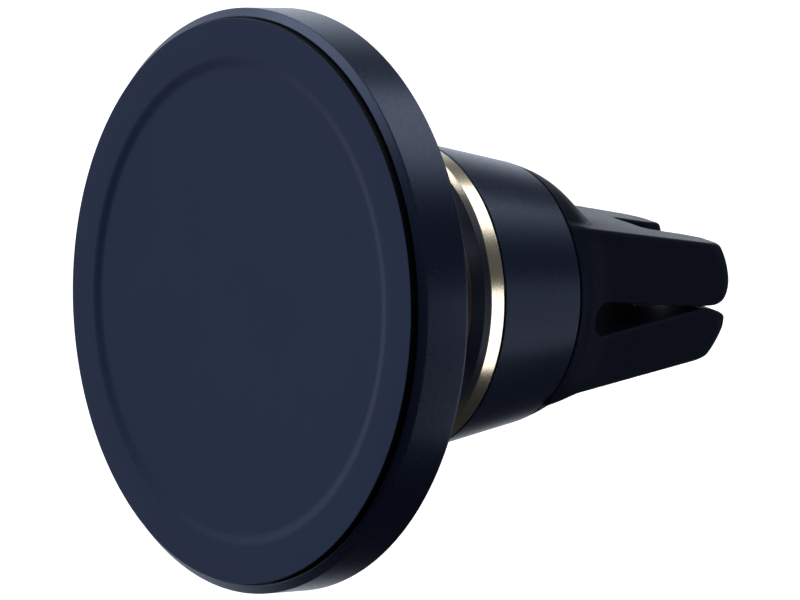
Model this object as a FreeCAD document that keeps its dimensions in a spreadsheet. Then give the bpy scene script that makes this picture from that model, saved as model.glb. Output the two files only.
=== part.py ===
import FreeCAD, Part
import math
import os
import Sketcher

# Car phone mount: a round magnetic head on a ball joint, held by a lock collar on a two-jaw
# vent clip.  Everything is stacked along Y: the phone face looks towards -Y, the vent clip
# points towards +Y, +Z is up.  All stations are measured along Y from the phone face, and every
# sub-part's Placement then moves it so that the frame's origin is on the stem axis, at the
# nip of the blade slot.

V = FreeCAD.Vector
doc = FreeCAD.newDocument("PhoneMount")

# ---------------------------------------------------------------------------- dimensions
TABLE = [
    ("frame_shift", 56.0),  # station of the slot's nip, which is the frame's origin
    # head
    ("head_rad", 29.0), ("head_front", 1.15), ("head_rear", 6.29), ("rim_top", 0.72), ("rim_in", 28.06), ("rim_out", 28.22),
    ("pad_rad", 27.98), ("pad_thick", 1.5), ("pad_dish", 0.3), ("dish_rad", 23.8), ("dish_run", 1.7),
    ("film_thick", 0.15), ("well_rad", 27.6), ("well_floor", 5.05), ("hub_rad", 11.0), ("hub_neck", 7.6), ("hub_end", 8.3),
    ("bush_rad", 5.0), ("stud_gap", 0.05), ("stud_rad", 3.5), ("bush_flange", 6.4), ("bush_end", 8.9), ("tray_skin", 0.5),
    ("mag_in", 23.0), ("mag_out", 27.0), ("mag_thick", 2.0), ("mag_count", 16), ("mag_gap_deg", 1.2), ("shunt_thick", 0.8),
    ("tray_hole", 7.2), ("screw_circle", 15.0), ("screw_head", 1.9), ("screw_shank", 0.8), ("screw_top", 2.5), ("screw_tip", 5.85),
    # ball stud
    ("ball_at", 25.0), ("ball_rad", 8.0), ("neck_rad", 3.9), ("collar_at", 8.95), ("collar_rad", 6.2), ("thread_rad", 2.5),
    ("nut_af", 8.0), ("nut_front", 2.5), ("nut_rear", 4.3), ("stud_front", 2.25), ("disc_rad", 6.4),
    # liner, pad and spring behind the ball
    ("liner_in", 8.08), ("liner_out", 9.05), ("liner_front", 4.2), ("liner_rear", 5.0), ("liner_slit", 1.6),
    ("pusher_rad", 4.4), ("pusher_face", 8.1), ("pusher_end", 35.3), ("spring_end", 36.6),
    # socket core
    ("socket_in", 9.15), ("mouth_at", 20.2), ("finger_tip", 9.2), ("finger_mid", 9.45), ("finger_root", 11.3), ("slot_width", 1.3), ("slot_end", 27.2),
    ("core_thread", 12.25), ("core_flange", 12.7), ("core_bore", 4.6), ("core_end", 38.5),
    # trim ring, gasket and lock collar
    ("trim_rad", 15.73), ("trim_front", 19.5), ("trim_band", 19.95), ("trim_back", 21.62), ("trim_bore", 9.7), ("trim_bevel", 15.2), ("trim_crest", 18.95),
    ("gasket_rad", 15.4), ("gasket_back", 21.84), ("sleeve_front_rad", 15.72), ("sleeve_rear_rad", 13.56), ("sleeve_end", 33.3), ("sleeve_bore", 12.35),
    ("ring_seat", 31.85), ("ring_back", 33.0), ("seat_rad", 13.0), ("washer_rad", 13.25), ("washer_front", 33.36), ("washer_back", 33.56),
    # clip: flange, block and jaws
    ("boot_rad", 13.45), ("boot_step", 34.35), ("cone_slope", 0.685), ("cone_at", 36.5), ("cone_rad", 12.3), ("cone_end", 44.6),
    ("block_from", 34.0), ("block_w0", 10.03), ("block_w1", 6.91), ("block_h0", 9.13), ("block_h1", 5.7), ("block_to", 60.0),
    ("split_at", 39.2), ("split_gap", 0.3), ("dome_at", 51.3), ("dome_rad", 8.75), ("plan_rad", 27.0), ("tip_reach", 60.6),
    ("slot_up0", 0.90), ("slot_lo0", -2.68), ("nip_at", 55.4), ("nip_up", -0.36), ("nip_lo", -0.70),
    ("flare_rad", 3.1), ("flare_lo_z", -1.75), ("notch_half", 2.6), ("notch_from", 50.2),
    ("core_w", 7.6), ("core_h", 6.6), ("tongue_w", 5.6), ("tongue_end", 49.0), ("tongue_in", 2.3), ("tongue_out", 6.0),
    ("lower_in", -4.0), ("lower_out", -6.3), ("lower_tongue_end", 48.2),
]
sheet = doc.addObject("Spreadsheet::Sheet", "dims")
for row, (name, value) in enumerate(TABLE, start=1):
    sheet.set("A%d" % row, name)
    sheet.set("B%d" % row, repr(value))
    sheet.setAlias("B%d" % row, name)
doc.recompute()


class Q:
    """A length with both its number and its spreadsheet expression."""

    def __init__(self, v, s):
        self.v, self.s = float(v), s

    def _op(self, other, sign, fn, swap=False):
        o = q(other)
        a, b = (o, self) if swap else (self, o)
        return Q(fn(a.v, b.v), "(%s %s %s)" % (a.s, sign, b.s))

    def __add__(self, o): return self._op(o, "+", lambda a, b: a + b)
    def __radd__(self, o): return self._op(o, "+", lambda a, b: a + b, True)
    def __sub__(self, o): return self._op(o, "-", lambda a, b: a - b)
    def __rsub__(self, o): return self._op(o, "-", lambda a, b: a - b, True)
    def __mul__(self, o): return self._op(o, "*", lambda a, b: a * b)
    def __rmul__(self, o): return self._op(o, "*", lambda a, b: a * b, True)
    def __truediv__(self, o): return self._op(o, "/", lambda a, b: a / b)
    def __neg__(self): return Q(-self.v, "(0 - %s)" % self.s)


def q(x):
    return x if isinstance(x, Q) else Q(x, "(%r)" % float(x) if x < 0 else "%r" % float(x))


def root(x):
    return Q(math.sqrt(x.v), "sqrt(%s)" % x.s)


class Names:
    def __getattr__(self, name):
        for n, v in TABLE:
            if n == name:
                return Q(v, "dims.%s" % n)
        raise AttributeError(name)


D = Names()
PARTS = []


def place(obj, label):
    """Label and Placement of a finished sub-part: the stack is moved back along Y."""
    obj.Label = label
    base = obj.Placement
    now = [e for p, e in obj.ExpressionEngine if p.endswith("Placement.Base.y")]
    obj.Placement = FreeCAD.Placement(V(base.Base.x, base.Base.y - D.frame_shift.v, base.Base.z), base.Rotation)
    obj.setExpression(".Placement.Base.y", "%s - dims.frame_shift" % (now[0] if now else repr(base.Base.y)))
    PARTS.append((label, obj))
    return obj


def new_body(name):
    b = doc.addObject("PartDesign::Body", name)
    if hasattr(b, "AllowCompound"):
        b.AllowCompound = True
    return b


def plane(body, role):
    for f in body.Origin.OriginFeatures:
        if f.Role == role:
            return f
    raise ValueError(role)


def sketch(body, name, role, offset=None):
    s = body.newObject("Sketcher::SketchObject", name)
    s.AttachmentSupport = [(plane(body, role), "")]
    s.MapMode = "FlatFace"
    if offset is not None:
        o = q(offset)
        s.AttachmentOffset = FreeCAD.Placement(V(0, 0, o.v), FreeCAD.Rotation())
        s.setExpression(".AttachmentOffset.Base.z", o.s)
    return s


def bind(s, kind, geo, pos, value):
    """One coordinate of a sketch point, driven by the sheet."""
    value = q(value)
    if abs(value.v) < 1e-9:
        s.addConstraint(Sketcher.Constraint("PointOnObject", geo, pos, -2 if kind == "DistanceX" else -1))
        return
    i = s.addConstraint(Sketcher.Constraint(kind, geo, pos, value.v))
    name = "d%d" % i
    s.renameConstraint(i, name)
    s.setExpression("Constraints." + name, value.s)


def outline(s, verts, arcs=None):
    """A closed outline.  verts are (x, y), where None is a coordinate that an arc settles.
    arcs maps a segment's index to its (centre x, centre y, radius, +1 if counter-clockwise)."""
    arcs = arcs or {}
    n = len(verts)
    pts = []
    for i, (x, y) in enumerate(verts):
        if x is None or y is None:
            cx, cy, r, _ = arcs[i] if i in arcs else arcs[(i - 1) % n]
            cx, cy, r = q(cx).v, q(cy).v, q(r).v
            if x is None:
                dx = math.sqrt(max(r * r - (q(y).v - cy) ** 2, 0))
                pts.append((cx + dx, q(y).v))
            else:
                dy = math.sqrt(max(r * r - (q(x).v - cx) ** 2, 0))
                pts.append((q(x).v, cy + dy))
        else:
            pts.append((q(x).v, q(y).v))
    ends = []
    for i in range(n):
        a, b = pts[i], pts[(i + 1) % n]
        if i in arcs:
            cx, cy, r, turn = arcs[i]
            c = V(q(cx).v, q(cy).v, 0)
            ta, tb = math.atan2(a[1] - c.y, a[0] - c.x), math.atan2(b[1] - c.y, b[0] - c.x)
            if turn < 0:
                ta, tb = tb, ta
            while tb <= ta:
                tb += 2 * math.pi
            g = s.addGeometry(Part.ArcOfCircle(Part.Circle(c, V(0, 0, 1), q(r).v), ta, tb), False)
            ends.append((g, 1, 2) if turn > 0 else (g, 2, 1))
            bind(s, "DistanceX", g, 3, cx)
            bind(s, "DistanceY", g, 3, cy)
            k = s.addConstraint(Sketcher.Constraint("Radius", g, q(r).v))
            s.renameConstraint(k, "r%d" % k)
            s.setExpression("Constraints.r%d" % k, q(r).s)
        else:
            g = s.addGeometry(Part.LineSegment(V(a[0], a[1], 0), V(b[0], b[1], 0)), False)
            ends.append((g, 1, 2))
    for i in range(n):
        g, _, e = ends[i]
        g2, st, _ = ends[(i + 1) % n]
        s.addConstraint(Sketcher.Constraint("Coincident", g, e, g2, st))
    for i, (x, y) in enumerate(verts):
        g, st, _ = ends[i]
        if x is not None:
            bind(s, "DistanceX", g, st, x)
        if y is not None:
            bind(s, "DistanceY", g, st, y)
    return s


def revolve(body, name, verts, arcs=None, cut=False):
    s = sketch(body, name + "_profile", "XY_Plane")
    outline(s, verts, arcs)
    f = body.newObject("PartDesign::Groove" if cut else "PartDesign::Revolution", name)
    f.Profile = s
    f.ReferenceAxis = (s, ["V_Axis"])
    f.Angle = 360.0
    doc.recompute()
    return f


def pad(body, s, name, length, both=False, reverse=False):
    f = body.newObject("PartDesign::Pad", name)
    f.Profile = s
    f.Length = q(length).v
    f.setExpression("Length", q(length).s)
    f.Midplane = both
    f.Reversed = reverse
    doc.recompute()
    return f


def pocket(body, s, name, length, both=False, reverse=False):
    before = body.Shape.Volume
    f = body.newObject("PartDesign::Pocket", name)
    f.Profile = s
    f.Length = q(length).v
    f.setExpression("Length", q(length).s)
    f.Midplane = both
    f.Reversed = reverse
    doc.recompute()
    if body.Shape.Volume > before - 1e-6:
        raise RuntimeError("%s cuts nothing" % name)
    return f


def edges_near(shape, test):
    return ["Edge%d" % (i + 1) for i, e in enumerate(shape.Edges) if test(e)]


def round_edges(body, base, name, radius, test, kind="Fillet"):
    names = edges_near(base.Shape, test)
    if not names:
        raise RuntimeError("%s finds no edge" % name)
    f = body.newObject("PartDesign::" + kind, name)
    f.Base = (base, names)
    if kind == "Fillet":
        f.Radius = q(radius).v
        f.setExpression("Radius", q(radius).s)
    else:
        f.Size = q(radius).v
        f.setExpression("Size", q(radius).s)
    doc.recompute()
    return f


def ring_edge(radius, station, tol=0.02):
    def test(e):
        c = e.Curve
        if not isinstance(c, Part.Circle):
            return False
        return abs(c.Radius - q(radius).v) < tol and abs(c.Center.y - q(station).v) < tol
    return test


# Part primitives whose sizes follow the sheet; an axis along Y is a turn of -90 degrees about X
ALONG_Y = FreeCAD.Rotation(V(1, 0, 0), -90)


def drive(obj, **sizes):
    for prop, value in sizes.items():
        setattr(obj, prop, q(value).v)
        obj.setExpression(prop, q(value).s)
    return obj


def at(obj, x, y, z, rot=None):
    obj.Placement = FreeCAD.Placement(V(q(x).v, q(y).v, q(z).v), rot or FreeCAD.Rotation())
    for axis, value in (("x", x), ("y", y), ("z", z)):
        if isinstance(value, Q):
            obj.setExpression(".Placement.Base." + axis, value.s)
    return obj


def cyl(name, radius, start, end, x=0.0, z=0.0, angle=None, turn=None):
    c = drive(doc.addObject("Part::Cylinder", name), Radius=radius, Height=q(end) - start)
    if angle is not None:
        drive(c, Angle=angle)
    rot = ALONG_Y if turn is None else FreeCAD.Rotation(V(0, 1, 0), turn) * ALONG_Y
    return at(c, x, start, z, rot)


def box(name, x0, x1, y0, y1, z0, z1):
    b = drive(doc.addObject("Part::Box", name), Length=q(x1) - x0, Width=q(y1) - y0, Height=q(z1) - z0)
    return at(b, q(x0), q(y0), q(z0))


def two(kind, name, a, b):
    f = doc.addObject("Part::" + kind, name)
    f.Base, f.Tool = a, b
    doc.recompute()
    return f


def fuse(name, *shapes):
    f = doc.addObject("Part::MultiFuse", name)
    f.Shapes = list(shapes)
    doc.recompute()
    return f


def group(name, items):
    f = doc.addObject("Part::Compound", name)
    f.Links = items
    doc.recompute()
    return f


# ============================================================================ head
# Silicone contact pad: a disc with a shallow dished centre, so that a phone rests on the rim.
b = new_body("FrontPad")
f = revolve(b, "PadDisc", [
    (0, D.pad_dish), (D.dish_rad - D.dish_run, D.pad_dish), (D.dish_rad - D.dish_run * 0.5, D.pad_dish * 0.62),
    (D.dish_rad, 0.0), (D.pad_rad, 0.0), (D.pad_rad, D.pad_thick), (0, D.pad_thick)])
f = round_edges(b, f, "PadEdge", 0.18, ring_edge(D.pad_rad, 0.0))
place(b, "front_pad")

# Double-sided film that bonds the pad to the tray.
b = new_body("PadAdhesive")
revolve(b, "FilmDisc", [(0, D.pad_thick), (D.well_rad - 0.6, D.pad_thick), (D.well_rad - 0.6, D.pad_thick + D.film_thick), (0, D.pad_thick + D.film_thick)])
place(b, "pad_adhesive")

# Turned aluminium shell: rim with a chamfered lip round the pad, cylindrical wall, rear plate and hub.
b = new_body("HeadShell")
f = revolve(b, "ShellCup", [
    (D.bush_rad, D.well_floor), (D.well_rad, D.well_floor), (D.well_rad, D.pad_thick), (D.rim_in, D.pad_thick),
    (D.rim_in, D.rim_top), (D.rim_out, D.rim_top), (D.head_rad, D.head_front), (D.head_rad, D.head_rear - 0.35),
    (D.head_rad - 0.35, D.head_rear), (D.hub_rad + 1.2, D.head_rear + 0.25), (D.hub_rad, D.head_rear + 0.6), (D.hub_neck, D.hub_end), (D.bush_rad, D.hub_end)])
# three screw bosses inside the well
s = sketch(b, "BossCircles", "XZ_Plane", -D.well_floor)
for k in range(3):
    t = math.radians(90 + 120 * k)
    g = s.addGeometry(Part.Circle(V(15.0 * math.cos(t), 15.0 * math.sin(t), 0), V(0, 0, 1), 2.4), False)
    bind(s, "DistanceX", g, 3, D.screw_circle * math.cos(t) if abs(math.cos(t)) > 1e-9 else 0.0)
    bind(s, "DistanceY", g, 3, D.screw_circle * math.sin(t))
    i = s.addConstraint(Sketcher.Constraint("Radius", g, 2.4))
pad(b, s, "Bosses", 1.3)
s = sketch(b, "ScrewHoles", "XZ_Plane", -(D.well_floor - 1.4))
for k in range(3):
    t = math.radians(90 + 120 * k)
    g = s.addGeometry(Part.Circle(V(15.0 * math.cos(t), 15.0 * math.sin(t), 0), V(0, 0, 1), 0.8), False)
    bind(s, "DistanceX", g, 3, D.screw_circle * math.cos(t) if abs(math.cos(t)) > 1e-9 else 0.0)
    bind(s, "DistanceY", g, 3, D.screw_circle * math.sin(t))
    i = s.addConstraint(Sketcher.Constraint("Radius", g, D.screw_shank.v))
    s.renameConstraint(i, "hole%d" % k)
    s.setExpression("Constraints.hole%d" % k, D.screw_shank.s)
pocket(b, s, "ScrewBores", 2.3)
place(b, "head_shell")

# Magnet tray: a moulded plate whose rear channel holds the ring magnets and the shunt ring.
b = new_body("MagnetTray")
t0 = D.pad_thick + D.film_thick
f = revolve(b, "TrayPlate", [
    (D.tray_hole, t0), (D.well_rad - 0.05, t0), (D.well_rad - 0.05, D.well_floor), (D.mag_out + 0.05, D.well_floor),
    (D.mag_out + 0.05, t0 + D.tray_skin), (D.mag_in - 0.05, t0 + D.tray_skin), (D.mag_in - 0.05, D.well_floor), (D.tray_hole, D.well_floor)])
for nm, rad, start, length in (("BossWells", 2.5, D.well_floor, D.well_floor - 3.7), ("HeadWells", 2.0, D.screw_top + 1.2, D.screw_top + 1.2 - t0)):
    s = sketch(b, nm + "_at", "XZ_Plane", -start)
    for k in range(3):
        t = math.radians(90 + 120 * k)
        g = s.addGeometry(Part.Circle(V(15.0 * math.cos(t), 15.0 * math.sin(t), 0), V(0, 0, 1), rad), False)
        bind(s, "DistanceX", g, 3, D.screw_circle * math.cos(t) if abs(math.cos(t)) > 1e-9 else 0.0)
        bind(s, "DistanceY", g, 3, D.screw_circle * math.sin(t))
        s.addConstraint(Sketcher.Constraint("Radius", g, rad))
    pocket(b, s, nm, length, reverse=True)
place(b, "magnet_tray")

# Sixteen arc magnets in a ring, and the steel ring that closes the field behind them.
arcs = []
step = 360.0 / D.mag_count.v
for k in range(int(D.mag_count.v)):
    turn = k * step + D.mag_gap_deg.v / 2
    span = q(360.0) / D.mag_count - D.mag_gap_deg
    outer = cyl("MagOuter%02d" % k, D.mag_out, t0 + D.tray_skin, t0 + D.tray_skin + D.mag_thick, angle=span, turn=turn)
    inner = cyl("MagInner%02d" % k, D.mag_in, t0 + D.tray_skin - 1, t0 + D.tray_skin + D.mag_thick + 1)
    arcs.append(two("Cut", "Magnet%02d" % k, outer, inner))
place(group("RingMagnets", arcs), "ring_magnets")
b = new_body("ShuntRing")
m1 = t0 + D.tray_skin + D.mag_thick
revolve(b, "ShuntPlate", [(D.mag_in, m1), (D.mag_out, m1), (D.mag_out, m1 + D.shunt_thick), (D.mag_in, m1 + D.shunt_thick)])
place(b, "shunt_ring")

# Three pan-head screws that hold the tray in the shell.
screws = []
for k in range(3):
    t = math.radians(90 + 120 * k)
    x, z = D.screw_circle * math.cos(t), D.screw_circle * math.sin(t)
    head = cyl("ScrewHead%d" % k, D.screw_head, D.screw_top, D.screw_top + 1.2, x, z)
    shank = cyl("ScrewShank%d" % k, D.screw_shank, D.screw_top + 1.2, D.screw_tip, x, z)
    whole = fuse("ScrewBlank%d" % k, head, shank)
    slot1 = box("DriveA%d" % k, x - 1.1, x + 1.1, D.screw_top - 0.1, D.screw_top + 0.6, z - 0.2, z + 0.2)
    slot2 = box("DriveB%d" % k, x - 0.2, x + 0.2, D.screw_top - 0.1, D.screw_top + 0.6, z - 1.1, z + 1.1)
    screws.append(two("Cut", "Screw%d" % k, whole, fuse("Drive%d" % k, slot1, slot2)))
place(group("TrayScrews", screws), "tray_screws")

# Flanged nylon bush pressed in the hub: the head turns on the stud's shoulder in it.
b = new_body("SwivelBush")
revolve(b, "BushBody", [
    (D.stud_rad + D.stud_gap, D.well_floor), (D.bush_rad, D.well_floor), (D.bush_rad, D.hub_end), (D.bush_flange, D.hub_end),
    (D.bush_flange, D.bush_end), (D.stud_rad + D.stud_gap, D.bush_end)])
place(b, "swivel_bush")

# ============================================================================ ball stud
# Steel ball, neck, thrust collar, shoulder and threaded end, turned in one piece.
b = new_body("BallStud")
f = revolve(b, "StudProfile", [
    (0, D.stud_front), (D.thread_rad - 0.3, D.stud_front), (D.thread_rad, D.stud_front + 0.3), (D.thread_rad, D.well_floor - 0.05), (D.stud_rad, D.well_floor - 0.05),
    (D.stud_rad, D.collar_at), (D.collar_rad, D.collar_at), (D.collar_rad, D.collar_at + 1.3), (D.neck_rad, D.collar_at + 2.6),
    (None, D.ball_at - root(D.ball_rad * D.ball_rad - D.neck_rad * D.neck_rad)), (0, None)],
    {9: (0.0, D.ball_at, D.ball_rad, 1)})
place(b, "ball_stud")

# Thin hexagon nut and the disc spring under it, which set the drag of the swivel.
hexa = doc.addObject("Part::Prism", "NutHex")
hexa.Polygon = 6
drive(hexa, Circumradius=D.nut_af / 1.7320508, Height=D.nut_rear - D.nut_front)
at(hexa, 0.0, D.nut_front, 0.0, ALONG_Y)
place(two("Cut", "StudNut", hexa, cyl("NutBore", D.thread_rad, D.nut_front - 1, D.nut_rear + 1)), "stud_nut")
b = new_body("DiscSpring")
revolve(b, "DiscCone", [
    (D.thread_rad + 0.1, D.nut_rear), (D.thread_rad + 1.4, D.nut_rear), (D.disc_rad, D.well_floor - 0.35), (D.disc_rad, D.well_floor - 0.05), (D.disc_rad - 0.4, D.well_floor - 0.05), (D.thread_rad + 0.1, D.nut_rear + 0.35)])
place(b, "disc_spring")

# ============================================================================ ball liner
# Split acetal band with spherical faces between the ball and the socket.
b = new_body("BallLiner")
front, rear = D.ball_at - D.liner_front, D.ball_at + D.liner_rear
revolve(b, "LinerBand", [(None, front), (None, front), (None, rear), (None, rear)], {
    1: (0.0, D.ball_at, D.liner_out, 1), 3: (0.0, D.ball_at, D.liner_in, -1)})
s = sketch(b, "LinerSlit_at", "XY_Plane")
outline(s, [(-D.liner_slit / 2, front - 1), (D.liner_slit / 2, front - 1), (D.liner_slit / 2, rear + 1), (-D.liner_slit / 2, rear + 1)])
pocket(b, s, "LinerSlit", 12.0, reverse=True)
place(b, "ball_liner")

# ============================================================================ socket core
# Moulded nylon core: spherical socket with six fingers, thread for the collar, flange and the
# square root that carries the jaws.
b = new_body("SocketCore")
f = revolve(b, "CoreBody", [
    (None, D.mouth_at), (D.finger_tip, D.mouth_at), (D.finger_mid, D.mouth_at + 1.5), (D.finger_root, D.ball_at + 0.4), (D.core_thread, D.ball_at + 1.4),
    (D.core_thread, D.ring_seat + 0.05), (D.core_thread - 0.85, D.ring_seat + 0.05), (D.core_thread - 0.85, D.ring_seat + 0.75), (D.core_thread - 0.25, D.ring_seat + 0.75),
    (D.core_thread - 0.25, D.washer_back), (D.core_flange, D.washer_back), (D.core_flange, D.boot_step), (D.core_flange - 2.4, D.boot_step + 1.5), (D.core_flange - 2.4, D.spring_end + 0.6),
    (0, D.spring_end + 0.6), (0, D.spring_end), (D.core_bore, D.spring_end), (D.core_bore, None)],
    {17: (0.0, D.ball_at, D.socket_in, -1)})
# groove for the O-ring
revolve(b, "RingGroove", [(D.core_thread - 0.95, 28.4), (D.core_thread + 1, 28.4), (D.core_thread + 1, 29.6), (D.core_thread - 0.95, 29.6)], cut=True)
s = sketch(b, "RootSquare", "XZ_Plane", -(D.boot_step + 0.5))
outline(s, [(-D.core_w, -D.core_h), (D.core_w, -D.core_h), (D.core_w, D.core_h), (-D.core_w, D.core_h)])
pad(b, s, "Root", D.core_end - D.boot_step - 0.5, reverse=True)
s = sketch(b, "SpringWell_at", "XZ_Plane", -(D.boot_step))
g = s.addGeometry(Part.Circle(V(0, 0, 0), V(0, 0, 1), 4.6), False)
s.addConstraint(Sketcher.Constraint("Coincident", g, 3, -1, 1))
i = s.addConstraint(Sketcher.Constraint("Radius", g, 4.6))
s.renameConstraint(i, "bore")
s.setExpression("Constraints.bore", D.core_bore.s)
pocket(b, s, "SpringWell", D.spring_end - D.boot_step)
core = b
for k in range(3):
    s = sketch(b, "FingerSlot%d_at" % k, "XZ_Plane", -(D.mouth_at - 1))
    t = math.radians(30 + 60 * k)
    ux, uz, px, pz = math.cos(t), math.sin(t), -math.sin(t), math.cos(t)
    hw, hl = D.slot_width / 2, 14.0
    outline(s, [(hw * px + hl * ux, hw * pz + hl * uz), (hw * px - hl * ux, hw * pz - hl * uz), (-hw * px - hl * ux, -hw * pz - hl * uz), (-hw * px + hl * ux, -hw * pz + hl * uz)])
    pocket(b, s, "FingerSlot%d" % k, D.slot_end - D.mouth_at + 1)
place(b, "socket_core")

# Pressure pad and disc spring that push the ball forward into the fingers.
b = new_body("PressurePad")
revolve(b, "PadPin", [
    (D.pusher_rad, None), (D.pusher_rad, D.pusher_end), (0, D.pusher_end), (0, None)],
    {3: (0.0, D.ball_at, D.pusher_face, -1)})
place(b, "pressure_pad")
b = new_body("SeatSpring")
revolve(b, "SpringCone", [
    (1.6, D.pusher_end), (2.6, D.pusher_end), (D.core_bore - 0.15, D.spring_end - 0.45), (D.core_bore - 0.15, D.spring_end), (D.core_bore - 0.7, D.spring_end), (1.6, D.pusher_end + 0.5)])
place(b, "seat_spring")

# Snap ring that stops the collar from leaving its thread, and the O-ring that gives it drag.
ring = two("Cut", "SnapRing", cyl("SnapOuter", D.seat_rad - 0.12, D.ring_seat + 0.1, D.ring_seat + 0.7), cyl("SnapInner", D.core_thread - 0.8, D.ring_seat - 1, D.ring_seat + 2))
place(two("Cut", "SnapRingOpen", ring, box("SnapGap", -1.5, 1.5, D.ring_seat - 1, D.ring_seat + 2, -20.0, 0.0)), "retaining_ring")
o = drive(doc.addObject("Part::Torus", "ORing"), Radius1=D.core_thread - 0.45, Radius2=0.5)
at(o, 0.0, 29.0, 0.0, ALONG_Y)
place(o, "collar_o_ring")
b = new_body("CollarWasher")
revolve(b, "WasherFlat", [(D.core_thread - 0.2, D.washer_front), (D.washer_rad, D.washer_front), (D.washer_rad, D.washer_back), (D.core_thread - 0.2, D.washer_back)])
place(b, "collar_washer")

# ============================================================================ lock collar
b = new_body("TrimRing")
revolve(b, "TrimProfile", [
    (D.trim_bore, D.trim_crest + 0.35), (D.trim_bore + 0.45, D.trim_crest), (D.trim_bore + 2.4, D.trim_crest), (D.trim_bevel - 1.6, D.trim_crest + 0.16), (D.trim_bevel, D.trim_front),
    (D.trim_rad, D.trim_band), (D.trim_rad, D.trim_back), (D.trim_bore, D.trim_back)])
place(b, "trim_ring")
b = new_body("CollarGasket")
revolve(b, "GasketFlat", [(D.trim_bore + 1.1, D.trim_back), (D.gasket_rad, D.trim_back), (D.gasket_rad, D.gasket_back), (D.trim_bore + 1.1, D.gasket_back)])
place(b, "collar_gasket")
b = new_body("LockCollar")
revolve(b, "CollarBody", [
    (D.trim_bore + 1.1, D.gasket_back), (D.sleeve_front_rad - 0.12, D.gasket_back), (D.sleeve_front_rad, D.gasket_back + 0.12), (D.sleeve_rear_rad + 0.02, D.sleeve_end - 0.12), (D.sleeve_rear_rad - 0.12, D.sleeve_end),
    (D.sleeve_bore, D.sleeve_end), (D.sleeve_bore, D.ring_back), (D.seat_rad, D.ring_back), (D.seat_rad, D.ring_seat), (D.sleeve_bore, D.ring_seat),
    (D.sleeve_bore, D.ball_at + 1.0), (D.finger_root + 0.45, D.ball_at - 0.1), (D.trim_bore + 1.1, D.mouth_at + 2.6)])
place(b, "lock_collar")

# ============================================================================ vent clip
def cone_radius(station):
    return D.cone_rad - D.cone_slope * (station - D.cone_at)


# Silicone boot over the flange and the square root.
flange = cyl("BootFlange", D.boot_rad, D.washer_back, D.boot_step)
y0, y1 = D.boot_step, D.split_at - D.split_gap / 2
r0 = Q(D.boot_rad.v, D.boot_rad.s)
taper1 = drive(doc.addObject("Part::Cone", "BootTaper"), Radius1=r0, Radius2=cone_radius(D.cone_at), Height=D.cone_at - y0)
at(taper1, 0.0, y0, 0.0, ALONG_Y)
taper2 = drive(doc.addObject("Part::Cone", "BootCone"), Radius1=cone_radius(D.cone_at), Radius2=cone_radius(y1), Height=y1 - D.cone_at)
at(taper2, 0.0, D.cone_at, 0.0, ALONG_Y)


def half_w(station):
    return D.block_w0 + (D.block_w1 - D.block_w0) * (station - D.block_from) / (D.block_to - D.block_from)


def half_h(station):
    return D.block_h0 + (D.block_h1 - D.block_h0) * (station - D.block_from) / (D.block_to - D.block_from)


wedge = doc.addObject("Part::Wedge", "BootBlock")
drive(wedge, Xmin=-half_w(y0), Xmax=half_w(y0), Zmin=-half_h(y0), Zmax=half_h(y0), Ymin=0.0, Ymax=y1 - y0,
      X2min=-half_w(y1), X2max=half_w(y1), Z2min=-half_h(y1), Z2max=half_h(y1))
at(wedge, 0.0, y0, 0.0)
rounded = two("Common", "BootBlockRound", wedge, cyl("BootRound", D.boot_rad - 0.35, y0, y1))
boot = fuse("BootBlank", flange, taper1, taper2, rounded)
inner = fuse("BootWell", cyl("WellFlange", D.core_flange, D.washer_back - 1, D.boot_step),
             at(drive(doc.addObject("Part::Cone", "WellTaper"), Radius1=D.core_flange, Radius2=D.core_flange - 2.4, Height=1.5), 0.0, D.boot_step, 0.0, ALONG_Y),
             cyl("WellNeck", D.core_flange - 2.4, D.boot_step + 1.5, D.spring_end + 0.6),
             box("WellRoot", -D.core_w, D.core_w, D.boot_step + 0.5, D.core_end, -D.core_h, D.core_h))
place(two("Cut", "FlangeBoot", boot, inner), "flange_boot")

# Two silicone jaws.  Each is a tapered block with a domed tip, cut by the blade slot below or
# above it and by the rib notch, with the flange's cone running out over its root.
start = D.split_at + D.split_gap / 2
nose = D.dome_at + D.dome_rad


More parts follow.
